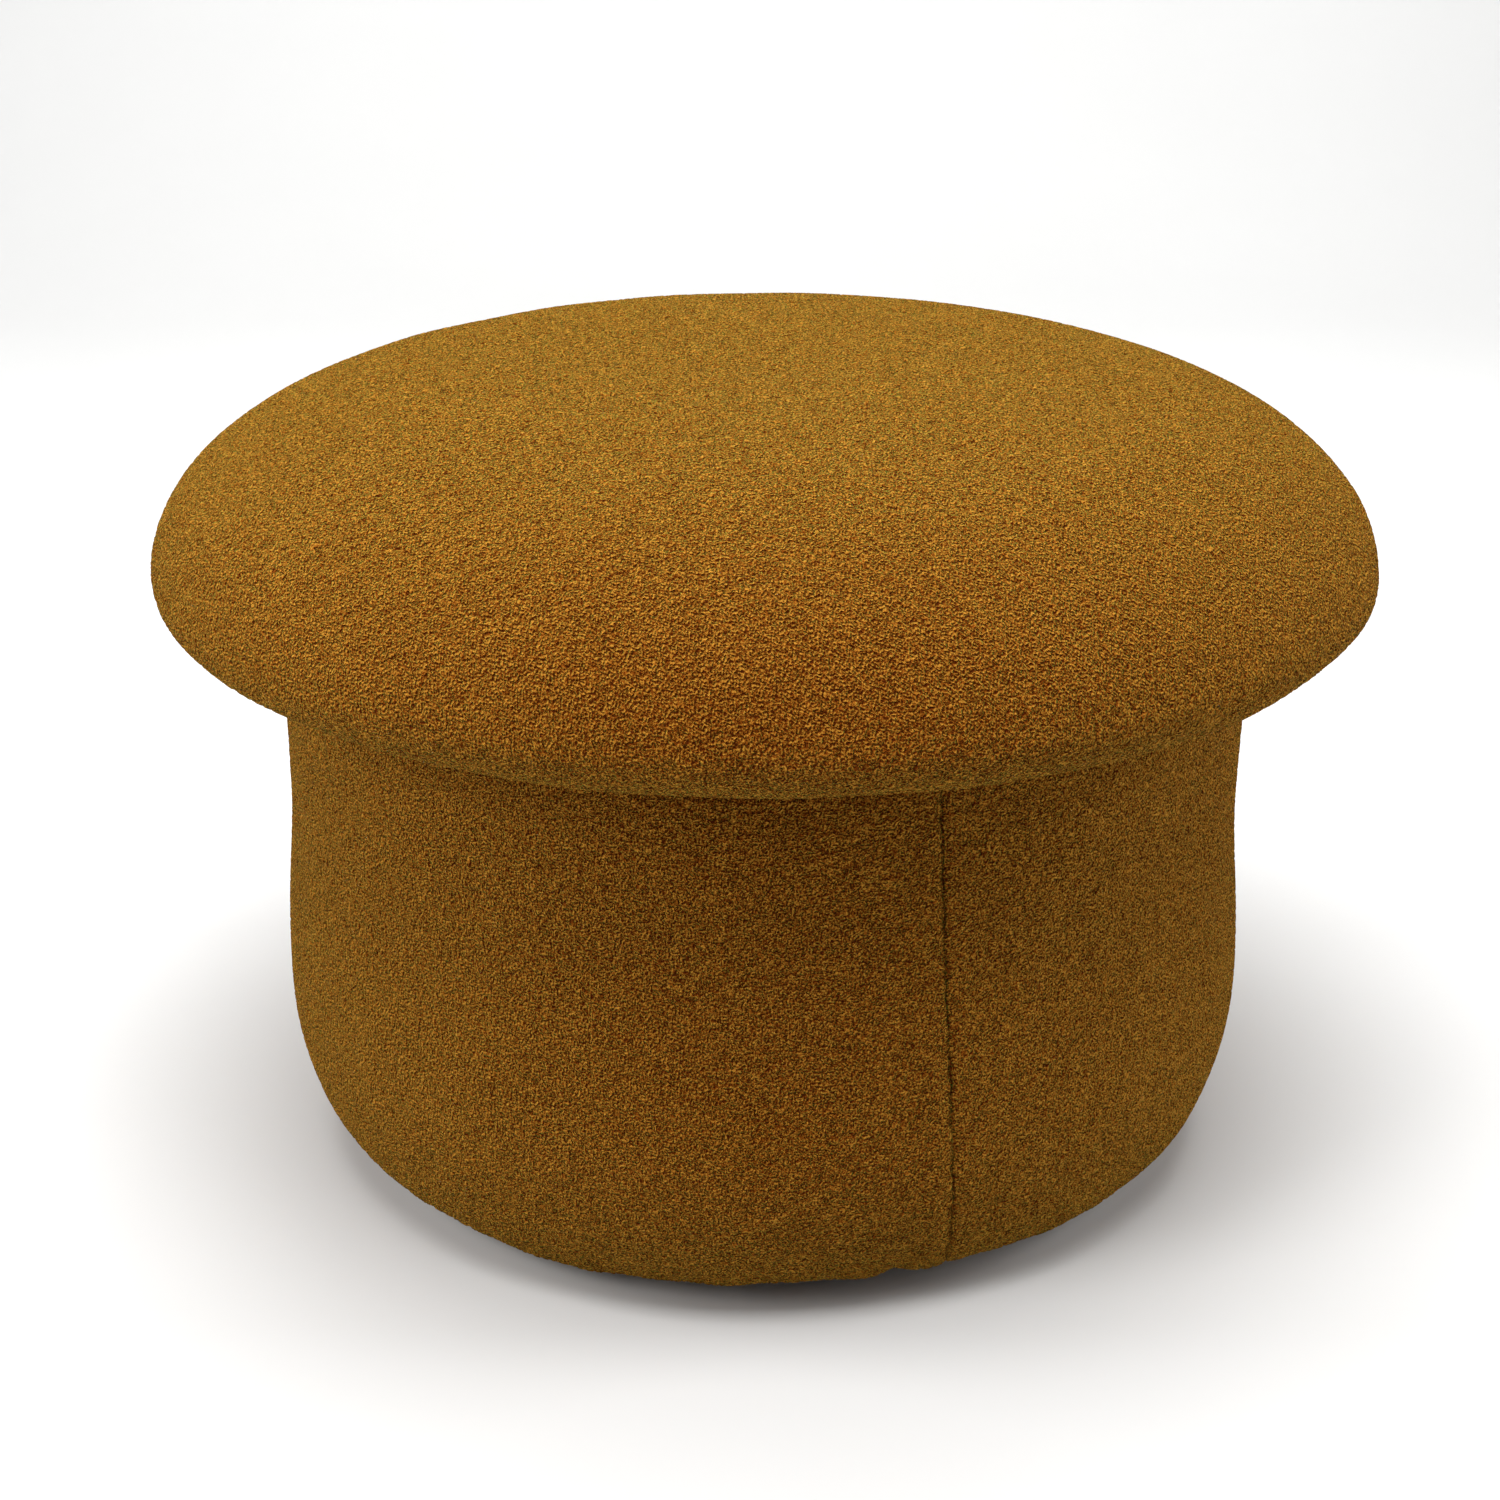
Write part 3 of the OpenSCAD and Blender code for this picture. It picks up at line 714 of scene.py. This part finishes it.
class OTTOMAN_OT_drum_cover(Operator):
    """Make the two sewn halves of the drum's padding and looped cover"""
    bl_idname = "ottoman.drum_cover"
    bl_label = "Drum cover"

    def execute(self, context):
        fabric, _, drum, trim, _ = settings(context)
        shown = even(drum_line(drum), fabric.spacing)
        ring_z = RING_LOW.z + 0.0003
        ring_r, wall_r, top_z, low_z = RING_IN - FIT, WALL_OUT + FIT, RING_HIGH.z + FIT, FLOOR_UNDER - FIT
        hidden = np.array([[LINING_OUT, ring_z], [ring_r, ring_z], [ring_r, top_z], [wall_r, top_z],
                           [wall_r, low_z], [shown[0, 0] + 3 * FIT, low_z]])
        turned_in = even(np.vstack([shown[-1:], hidden[:1]]), fabric.spacing)[1:]
        loop = np.vstack([shown, turned_in, hidden[1:]])
        n_shown = len(shown) + len(turned_in)
        columns = round(math.pi * COVER_RADIUS / fabric.spacing) + 1
        skin = looped_skin_tree(fabric.curl_size)
        settled = self.settle(drum, trim.staple_n // 2)
        for number, name in enumerate(("drum_cover_right", "drum_cover_left")):
            piece = self.half(name, number, loop, n_shown, columns, drum)
            shaped(piece, skin, {
                "Settled": settled, "Lump Height": fabric.lump_height, "Finish": fabric_finish(fabric)})
            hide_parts(("base_cover_right", "base_cover_left")[number])
            if number == 0:
                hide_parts("base_foam")
            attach(piece, "base")
        bpy.data.objects.remove(settled)
        return {"FINISHED"}

    def settle(self, drum, staples):
        """The whole side under the foam's pressure, held at the hem, the rim and the two seams."""
        stapled_points = 40  # of the turned-in edge, which the ring holds
        line = even(drum_line(drum)[:-stapled_points], drum.cloth_cell)
        count = round(TURN * COVER_RADIUS / drum.cloth_cell)
        around = np.linspace(0, TURN, count, endpoint=False)
        points = np.array([[r * math.sin(a), -r * math.cos(a), z] for r, z in line for a in around])
        faces = grid(len(line), count, close_columns=True)
        rings = np.repeat(np.arange(len(line)), count)
        apart = np.abs((np.tile(around, len(line)) - seam_angle(points[:, 2], drum) + math.pi / 2)
                       % math.pi - math.pi / 2) * COVER_RADIUS
        held = np.where((rings == 0) | (rings == len(line) - 1) | (apart < drum.cloth_cell * 0.6), 1.0, 0.0)
        pull = (np.cos(np.tile(around, len(line)) * staples) > 0.4) & (rings == 1)
        held[pull] = 1.0
        settled = settled_shift(points, faces, held, drum.pressure, drum.most_shift)
        keep_unevenness(settled, rings)
        return settled

    def half(self, name, number, loop, n_shown, columns, drum):
        """One half as a closed padded piece, with its seam edges rolled in and its hem shaped."""
        rows = len(loop)
        share = np.linspace(0, 1, columns)
        rng = np.random.default_rng(7 + number)
        r = np.repeat(loop[:, 0][:, None], columns, 1)
        z = np.repeat(loop[:, 1][:, None], columns, 1)
        shown = (np.arange(rows) < n_shown)[:, None] & np.ones((1, columns), bool)
        start = seam_angle(z, drum) + number * math.pi
        stray = np.where(shown, (rng.random((rows, columns)) - 0.5) * 0.5 / (columns - 1), 0.0)
        stray[:, (0, -1)] = 0.0
        a = start + (share[None, :] + stray) * math.pi
        gap = np.minimum(share, 1 - share)[None, :] * math.pi * r
        along = np.gradient(loop, axis=0)
        outward = np.column_stack([along[:, 1], -along[:, 0]])
        outward /= np.maximum(np.linalg.norm(outward, axis=1, keepdims=True), 1e-9)
        groove = -drum.seam_depth * np.exp(-(gap / drum.seam_width) ** 1.5) \
            + 0.0005 * np.exp(-((gap - 0.008) / 0.005) ** 2)
        groove = np.where(shown, groove, 0.0)
        smooth = np.stack([r * np.sin(a), -r * np.cos(a), z], -1).reshape(-1, 3)
        swell = drum.wave * slow_wave(smooth, 0.1, 11)
        fade = ((loop[:, 1] - drum.hem_low) / 0.03).clip(0.15, 1)[:, None]
        inside = ((loop[:, 0] - 0.21) / 0.02).clip(0, 1)[:, None]
        push = groove + np.where(shown, swell.reshape(rows, columns) * fade * inside, 0.0)
        r = r + outward[:, 0][:, None] * push
        z = z + outward[:, 1][:, None] * push
        turn = (a + math.pi) % TURN - math.pi
        low = np.exp(-((z - drum.hem_low) / 0.022).clip(0)) * (loop[:, 0] > 0.19)[:, None] * (z < 0.06)
        lift_at, lift_reach = math.radians(17), math.radians(30)
        lift = drum.hem_lift * np.exp(-((turn - lift_at) / lift_reach) ** 4)
        scallop = drum.hem_wave * (np.sin(turn * 15 + 0.8 * np.sin(turn * 4)) + 0.5 * np.sin(turn * 41 + 2))
        hem_r, nick_wide, nick_lift = 0.2, 0.007, 0.0016
        nick = np.exp(-((turn - drum.pucker_at) * hem_r / nick_wide) ** 2)
        z = z + np.where(shown, (lift + scallop + nick_lift * nick) * low, 0.0)
        r = r - np.where(shown, drum.pucker_depth * nick * low, 0.0)
        points = np.stack([r * np.sin(a), -r * np.cos(a), z], -1).reshape(-1, 3)
        first = [row * columns for row in range(rows)]
        last = [row * columns + columns - 1 for row in reversed(range(rows))]
        piece = mesh_piece(name, points, grid(rows, columns, close_rows=True).tolist() + [first, last])
        loose = np.where(shown, np.minimum(1.0, 0.4 + gap / 0.003), 0.0)
        add_values(piece.data, "loose", loose.ravel())
        # Mask for the seam's painted shade: 1 on the seam line, fading off within the groove's width.
        add_values(piece.data, "crease", np.exp(-(gap / drum.seam_width) ** 2 * 2).ravel())
        return piece


def seam_angle(z, drum):
    """The front seam's angle to the right of the front at a height."""
    share = ((np.asarray(z) - drum.hem_low) / (COVER_TOP - drum.hem_low)).clip(0, 1)
    stray = 0.0010 * np.sin(share * 61) + 0.0010 * np.sin(share * 143 + 1)
    lean = 0.5 * (1 - share) + 0.5 * np.exp(-share / 0.09)
    return drum.seam_top + (drum.seam_foot - drum.seam_top) * lean + stray


def cloth_of_revolution(name, outer, thickness, cell, finish_made, wave=0.0, seed=1):
    """A closed thin cloth whose outer side follows a profile that starts on the axis."""
    line = even(outer, cell)
    along = np.gradient(line, axis=0)
    inward = np.column_stack([-along[:, 1], along[:, 0]])
    inward /= np.maximum(np.linalg.norm(inward, axis=1, keepdims=True), 1e-9)
    inward[0] = (0, inward[0, 1])
    inner = line + inward * thickness
    inner[0, 0] = 0
    profile = np.vstack([line, inner[::-1]])
    points, faces, _ = turned(profile, np.full(len(profile), cell), seed)
    radius = np.hypot(points[:, 0], points[:, 1])
    if wave:
        ripple = wave * slow_wave(np.column_stack([points[:, :2], points[:, 2] * 0.3]), 0.05, seed)
        points[:, :2] *= (1 + ripple / np.maximum(radius, 0.05))[:, None]
    piece = mesh_piece(name, points, faces, finish_made)
    map_cloth(piece)
    return piece


def map_cloth(piece):
    """A map in metres: flat pieces by X and Y, and upright walls by the way round and the height."""
    mesh = piece.data
    layer = mesh.uv_layers.new(name="cloth")
    corners = np.empty(len(mesh.loops), int)
    mesh.loops.foreach_get("vertex_index", corners)
    place = np.empty(len(mesh.vertices) * 3)
    mesh.vertices.foreach_get("co", place)
    place = place.reshape(-1, 3)[corners]
    face_of = np.repeat(np.arange(len(mesh.polygons)), [p.loop_total for p in mesh.polygons])
    upright = np.array([abs(p.normal.z) < 0.7 for p in mesh.polygons])[face_of]
    middle = np.array([p.center[:] for p in mesh.polygons])[face_of]
    base = np.arctan2(middle[:, 1], middle[:, 0])
    own = np.arctan2(place[:, 1], place[:, 0])
    own = base + (own - base + math.pi) % TURN - math.pi
    radius = np.hypot(middle[:, 0], middle[:, 1])
    u = np.where(upright, own * np.maximum(radius, 0.01), place[:, 0])
    v = np.where(upright, place[:, 2], place[:, 1])
    layer.data.foreach_set("uv", np.column_stack([u, v]).astype(np.float32).ravel())


class OTTOMAN_OT_storage_lining(Operator):
    """Make the lining of the storage space's wall and floor"""
    bl_idname = "ottoman.storage_lining"
    bl_label = "Storage lining"

    def execute(self, context):
        _, _, _, trim, _ = settings(context)
        grey = lining_finish(trim)
        radius = LINING_HIGH.x
        wall = self.wall(radius, trim, grey)
        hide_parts("storage_lining")
        floor_z, inner = LINING_LOW.z, radius - 0.0022
        top = floor_z + trim.cloth_t * 1.4
        line = [(0, top), (inner - 0.004, top), (inner, top + 0.0035)]
        floor = cloth_of_revolution("floor_lining_cloth", line, trim.cloth_t, 0.006, grey, seed=4)
        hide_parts("floor_lining")
        for piece in (wall, floor):
            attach(piece, "base")
        return {"FINISHED"}

    def wall(self, radius, trim, grey):
        """The wall's cloth: upright, closed by an overlap at the back, slack between its staples."""
        low, high = LINING_LOW.z, LINING_HIGH.z
        rows, columns = 70, 480
        height = np.linspace(0, 1, rows)[:, None]
        share = np.linspace(0, 1, columns)[None, :]
        a = math.pi / 2 + share * (TURN + 0.06)
        lap = 0.0009 * (share * columns > columns - 8)
        slack = 0.0011 * slow_wave(np.stack([np.sin(a) * 0.18 + 0 * height, np.cos(a) * 0.18 + 0 * height,
                                             0.35 * height * 0.2 + 0 * a], -1).reshape(-1, 3), 0.045, 21)
        slack = slack.reshape(rows, columns) * np.sin(height * math.pi).clip(0) ** 0.5
        drop = 0.0012 * np.sin(a * trim.staple_n + 1.2) * height ** 12
        outer = radius - 0.0006 - lap - slack.clip(0) - 0.0007 * (1 - height) ** 6
        z = low + height * (high - low) - drop
        outer = outer + 0 * z
        shells = [np.stack([side * np.cos(a), side * np.sin(a), z], -1).reshape(-1, 3)
                  for side in (outer, outer - trim.cloth_t)]
        quads = grid(rows, columns)
        total = rows * columns
        faces = quads.tolist() + (quads[:, ::-1] + total).tolist()
        edge = [k for k in range(columns)] + [r * columns + columns - 1 for r in range(1, rows)] \
            + [(rows - 1) * columns + k for k in range(columns - 2, -1, -1)] \
            + [r * columns for r in range(rows - 2, 0, -1)]
        for here, there in zip(edge, edge[1:] + edge[:1]):
            faces.append([there, here, here + total, there + total])
        piece = mesh_piece("storage_lining_cloth", np.vstack(shells), faces, grey)
        map_cloth(piece)
        return piece


class OTTOMAN_OT_dust_cloth(Operator):
    """Make the dust cloth under the drum, turned up round the plinth"""
    bl_idname = "ottoman.dust_cloth"
    bl_label = "Dust cloth"

    def execute(self, context):
        _, _, _, trim, _ = settings(context)
        low, radius, top = CLOTH_LOW.z, CLOTH_HIGH.x, PLINTH_HIGH.z
        corner = 0.003
        a = quarter(8)
        bend = [(radius - corner + corner * math.sin(t), low + corner * (1 - math.cos(t))) for t in a]
        outer = [(0, low), *bend, (radius, top - 0.001)]
        piece = cloth_of_revolution("dust_cloth_cup", outer, trim.cloth_t, 0.004, dust_finish(trim),
                                    wave=0.0006, seed=9)
        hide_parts("dust_cloth")
        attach(piece, "base")
        return {"FINISHED"}


class OTTOMAN_OT_lid_underside(Operator):
    """Make the cloth that closes the lid's underside and wraps the locating disc"""
    bl_idname = "ottoman.lid_underside"
    bl_label = "Lid underside"

    def execute(self, context):
        _, lid, _, trim, _ = settings(context)
        grey = lining_finish(trim)
        low = UNDER_LOW.z
        band = UNDER_HIGH.x
        hem_in = LID_RADIUS - lid.under_inset - lid.hem_width
        disc_r, top, bottom = WRAP_HIGH.x, WRAP_HIGH.z, WRAP_LOW.z
        corner = 0.002
        a = quarter(6)
        fold = [(band - 0.0006 * math.cos(t), low + 0.0006 * math.sin(t)) for t in a]
        outer = [(0, top + 0.0002), (disc_r + 0.004, top + 0.0002), (disc_r + 0.010, top - 0.0004),
                 (hem_in - 0.004, low + 0.0006), (hem_in, low + 0.0001), *fold[::-1]]
        panel = cloth_of_revolution("lid_lining_cloth", outer, trim.cloth_t * 0.8, 0.004, grey, seed=12)
        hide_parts("lid_lining")
        bend = [(disc_r - corner + corner * math.sin(t), bottom + corner * (1 - math.cos(t))) for t in a]
        outer = [(0, bottom), *bend, (disc_r, top - 0.0006)]
        wrap = cloth_of_revolution("disc_wrap_cloth", outer, trim.cloth_t, 0.004, grey, wave=0.0003, seed=13)
        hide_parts("locating_disc_wrap")
        for piece in (panel, wrap):
            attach(piece, "lid")
        return {"FINISHED"}


# ---- Fasteners -------------------------------------------------------------------------------

def staple_row_tree():
    """Staples evenly round a circle, each a bent wire with its legs driven in."""
    tree, given, result = modifier_tree("Staple row", (
        ("Count", "Int"), ("Radius", "Float"), ("Height", "Float"), ("First", "Float"), ("Lean", "Float"),
        ("Finish", "Material")))
    ring = node(tree, "GeometryNodeMeshCircle", {"Vertices": given.outputs["Count"],
                                                 "Radius": given.outputs["Radius"]})
    raised = node(tree, "GeometryNodeTransform", {"Geometry": ring.outputs[0]})
    lift = node(tree, "ShaderNodeCombineXYZ", {"Z": given.outputs["Height"]})
    turn = node(tree, "ShaderNodeCombineXYZ", {"Z": given.outputs["First"]})
    tree.links.new(lift.outputs[0], raised.inputs["Translation"])
    tree.links.new(turn.outputs[0], raised.inputs["Rotation"])
    place = node(tree, "GeometryNodeInputPosition").outputs[0]
    parts = node(tree, "ShaderNodeSeparateXYZ", {0: place})
    way = calc(tree, "ARCTAN2", parts.outputs[1], parts.outputs[0])
    stray = node(tree, "FunctionNodeRandomValue", {2: -0.09, 3: 0.09, "Seed": 5}, data_type="FLOAT")
    facing = node(tree, "ShaderNodeCombineXYZ", {"Y": given.outputs["Lean"],
                                                 "Z": calc(tree, "ADD", way, stray.outputs[1])})
    copies = node(tree, "GeometryNodeInstanceOnPoints", {"Points": raised.outputs[0],
                                                         "Instance": given.outputs["Geometry"],
                                                         "Rotation": facing.outputs[0]})
    return close_tree(tree, given, result, copies.outputs[0])


def staple_wire(trim, proud, leg):
    """One staple along Y: a round-cornered wire whose crown stands a little under z = 0."""
    half, wire, sides = trim.staple_w / 2 - trim.wire / 2, trim.wire / 2, WIRE_SIDES
    bend = 0.0009
    a = quarter(4)
    corner = [(-half + bend - bend * math.cos(t), bend - bend * math.sin(t) - proud) for t in a]
    path = [(-half, leg)] + corner
    path += [(-y, z) for y, z in reversed(path)]
    verts, faces = [], []
    path = np.array(path)
    along = np.gradient(path, axis=0)
    along /= np.linalg.norm(along, axis=1, keepdims=True)
    for (y, z), (ty, tz) in zip(path, along):
        for s in range(sides):
            c = math.cos(TURN * (s + 0.5) / sides) * wire * 1.1
            d = math.sin(TURN * (s + 0.5) / sides) * wire * 0.8
            verts.append((c, y - tz * d, z + ty * d))
    for k in range(len(path) - 1):
        for s in range(sides):
            t = (s + 1) % sides
            faces.append([k * sides + s, k * sides + t, (k + 1) * sides + t, (k + 1) * sides + s])
    faces.append(list(range(sides))[::-1])
    faces.append([(len(path) - 1) * sides + s for s in range(sides)])
    return mesh_piece("staple_row", verts, faces)


class OTTOMAN_OT_staples(Operator):
    """Make the three rows of staples"""
    bl_idname = "ottoman.staples"
    bl_label = "Staples"

    def execute(self, context):
        _, _, _, trim, _ = settings(context)
        steel, tree = steel_finish(), staple_row_tree()
        rim_low, rim_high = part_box("rim_staples")
        rim_z = (rim_low.z + rim_high.z) / 2
        rows = (("lid_staple_row", "lid_staples", "lid", LID_STAPLE_CIRCLE, UNDER_LOW.z, 0.5, 0.0, 1),
                ("rim_staple_row", "rim_staples", "base", LINING_HIGH.x - 0.0015, rim_z, 0.5, math.pi / 2, 1),
                ("dust_staple_row", "dust_cloth_staples", "base", PLINTH_HIGH.x - 0.012, CLOTH_LOW.z,
                 0.0, 0.0, 2))
        for name, node_name, body, radius, height, first, lean, share in rows:
            piece = staple_wire(trim, 0.00012, 0.006)
            piece.name = name
            shaped(piece, tree, {"Count": trim.staple_n // share, "Radius": radius, "Height": height,
                                 "First": first * TURN / trim.staple_n, "Lean": lean, "Finish": steel})
            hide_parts(node_name)
            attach(piece, body)
        return {"FINISHED"}


class OTTOMAN_OT_frame_finishes(Operator):
    """Give the boards, posts, screws, feet and nails of the frame their finishes"""
    bl_idname = "ottoman.frame_finishes"
    bl_label = "Frame finishes"

    def execute(self, context):
        made = {
            "plywood": timber("birch_plywood", (0.62, 0.45, 0.26), (0.42, 0.27, 0.13), 0.004, 9.0),
            "pine": timber("planed_pine", (0.66, 0.48, 0.26), (0.45, 0.27, 0.11), 0.003, 14.0),
            "hardboard": pressed_fibre("hardboard_sheet", (0.24, 0.14, 0.07)),
            "foam": cut_foam("cut_foam", (0.78, 0.68, 0.42), 0.0018),
            "wadding": cut_foam("fibre_wadding", (0.82, 0.82, 0.80), 0.0035),
            "steel": steel_finish(),
            "black_plastic": moulded_plastic("black_plastic", (0.02, 0.02, 0.021)),
            "lining": pressed_fibre("pressed_fibre_grey", (0.06, 0.06, 0.06)),
            "boucle": pressed_fibre("pressed_fibre_brown", (0.3, 0.14, 0.02)),
        }
        made["dust_cloth"] = made["lining"]
        slots = {part["node"]: part["material_slot"] for part in frame["record"]["subparts"]}
        for name, piece in frame["nodes"].items():
            piece.data.materials.clear()
            piece.data.materials.append(made[slots[name]])
        return {"FINISHED"}


# ---- Studio ----------------------------------------------------------------------------------

LIGHTS = (  # name, place, where it faces, size, power
    ("top_light", (0.0, 0.2, 2.1), (0.0, 0.0, 0.3), (1.6, 1.6), 23.0),
    ("front_light", (0.0, -0.9, 2.3), (0.0, 0.0, 0.3), (1.4, 1.0), 44.0),
    ("low_front_light", (0.3, -2.6, 0.75), (0.0, 0.0, 0.1), (1.2, 0.8), 3.5),
    ("left_front_light", (-1.8, -1.4, 1.5), (0.0, 0.0, 0.3), (1.0, 1.0), 24.0),
    ("left_light", (-2.2, 0.1, 1.0), (0.0, 0.0, 0.25), (1.0, 1.2), 29.0),
    ("right_light", (2.2, 0.1, 1.0), (0.0, 0.0, 0.25), (1.0, 1.2), 32.0),
    ("backdrop_light", (0.0, 1.2, 2.6), (0.0, 3.0, 0.6), (3.0, 0.6), 60.0),
)


def area_light(name, place, target, size, power):
    """A soft rectangular light that faces a point."""
    light = bpy.data.lights.new(name, "AREA")
    light.shape = "RECTANGLE"
    light.size, light.size_y = size
    light.energy = power
    lamp = bpy.data.objects.new(name, light)
    way = np.array(target, float) - np.array(place, float)
    pitch = math.atan2(math.hypot(way[0], way[1]), -way[2])
    lamp.location = place
    lamp.rotation_euler = (pitch, 0.0, math.atan2(-way[0], way[1]))
    bpy.context.scene.collection.objects.link(lamp)


class OTTOMAN_OT_stage(Operator):
    """Make the floor, the lights and the camera"""
    bl_idname = "ottoman.stage"
    bl_label = "Studio"

    def execute(self, context):
        stage = context.scene.ottoman_stage
        reach, back, rise, bend = 7.0, 3.0, 3.0, 1.2
        a = quarter(16)
        line = [(-reach, 0.0)] + [(back - bend + bend * math.sin(t), bend * (1 - math.cos(t))) for t in a] \
            + [(back, rise)]
        verts = [(x, y, z) for x in (-reach, reach) for y, z in line]
        count = len(line)
        faces = [[k, k + count, k + count + 1, k + 1] for k in range(count - 1)]
        sweep = mesh_piece("studio_sweep", verts, faces, studio_floor(tuple(stage.floor)))
        for light in LIGHTS:
            area_light(*light)
        world = bpy.data.worlds.new("studio_air")
        world.use_nodes = True
        world.node_tree.nodes["Background"].inputs[0].default_value = (1.0, 1.0, 1.0, 1.0)
        world.node_tree.nodes["Background"].inputs[1].default_value = 0.03
        context.scene.world = world
        data = bpy.data.cameras.new("studio_camera")
        data.lens, data.sensor_width, data.shift_y = stage.lens, 36.0, stage.shift
        camera = bpy.data.objects.new("studio_camera", data)
        camera.location = (stage.eye_side, -stage.eye_back, stage.eye_up)
        camera.rotation_euler = (math.pi / 2 - stage.eye_down, 0.0, 0.0)
        context.scene.collection.objects.link(camera)
        context.scene.camera = camera
        context.scene.view_settings.view_transform = "Standard"
        return {"FINISHED"}


class OTTOMAN_PT_panel(Panel):
    """Lists the ottoman's makers and sizes"""
    bl_idname = "OTTOMAN_PT_panel"
    bl_label = "Storage ottoman"
    bl_space_type = "VIEW_3D"
    bl_region_type = "UI"
    bl_category = "Ottoman"

    def draw(self, context):
        layout = self.layout
        for maker in MAKERS:
            layout.operator(maker.bl_idname)
        for group in settings(context):
            box = layout.box()
            for name in group.bl_rna.properties.keys():
                if name not in ("rna_type", "name"):
                    box.prop(group, name)


MAKERS = (OTTOMAN_OT_stage, OTTOMAN_OT_frame_finishes, OTTOMAN_OT_lid_cushion, OTTOMAN_OT_drum_cover,
          OTTOMAN_OT_storage_lining, OTTOMAN_OT_dust_cloth, OTTOMAN_OT_lid_underside, OTTOMAN_OT_staples)
GROUPS = {"ottoman_fabric": OttomanFabric, "ottoman_lid": OttomanLid, "ottoman_drum": OttomanDrum,
          "ottoman_trim": OttomanTrim, "ottoman_stage": OttomanStage}


def register():
    for made in (*GROUPS.values(), *MAKERS, OTTOMAN_PT_panel):
        bpy.utils.register_class(made)
    for name, group in GROUPS.items():
        setattr(bpy.types.Scene, name, PointerProperty(type=group))


def unregister():
    for name in GROUPS:
        delattr(bpy.types.Scene, name)
    for made in (OTTOMAN_PT_panel, *reversed(MAKERS), *GROUPS.values()):
        bpy.utils.unregister_class(made)


def main():
    register()
    for maker in MAKERS:
        group, name = maker.bl_idname.split(".")
        getattr(getattr(bpy.ops, group), name)()


if __name__ == "__main__":
    main()
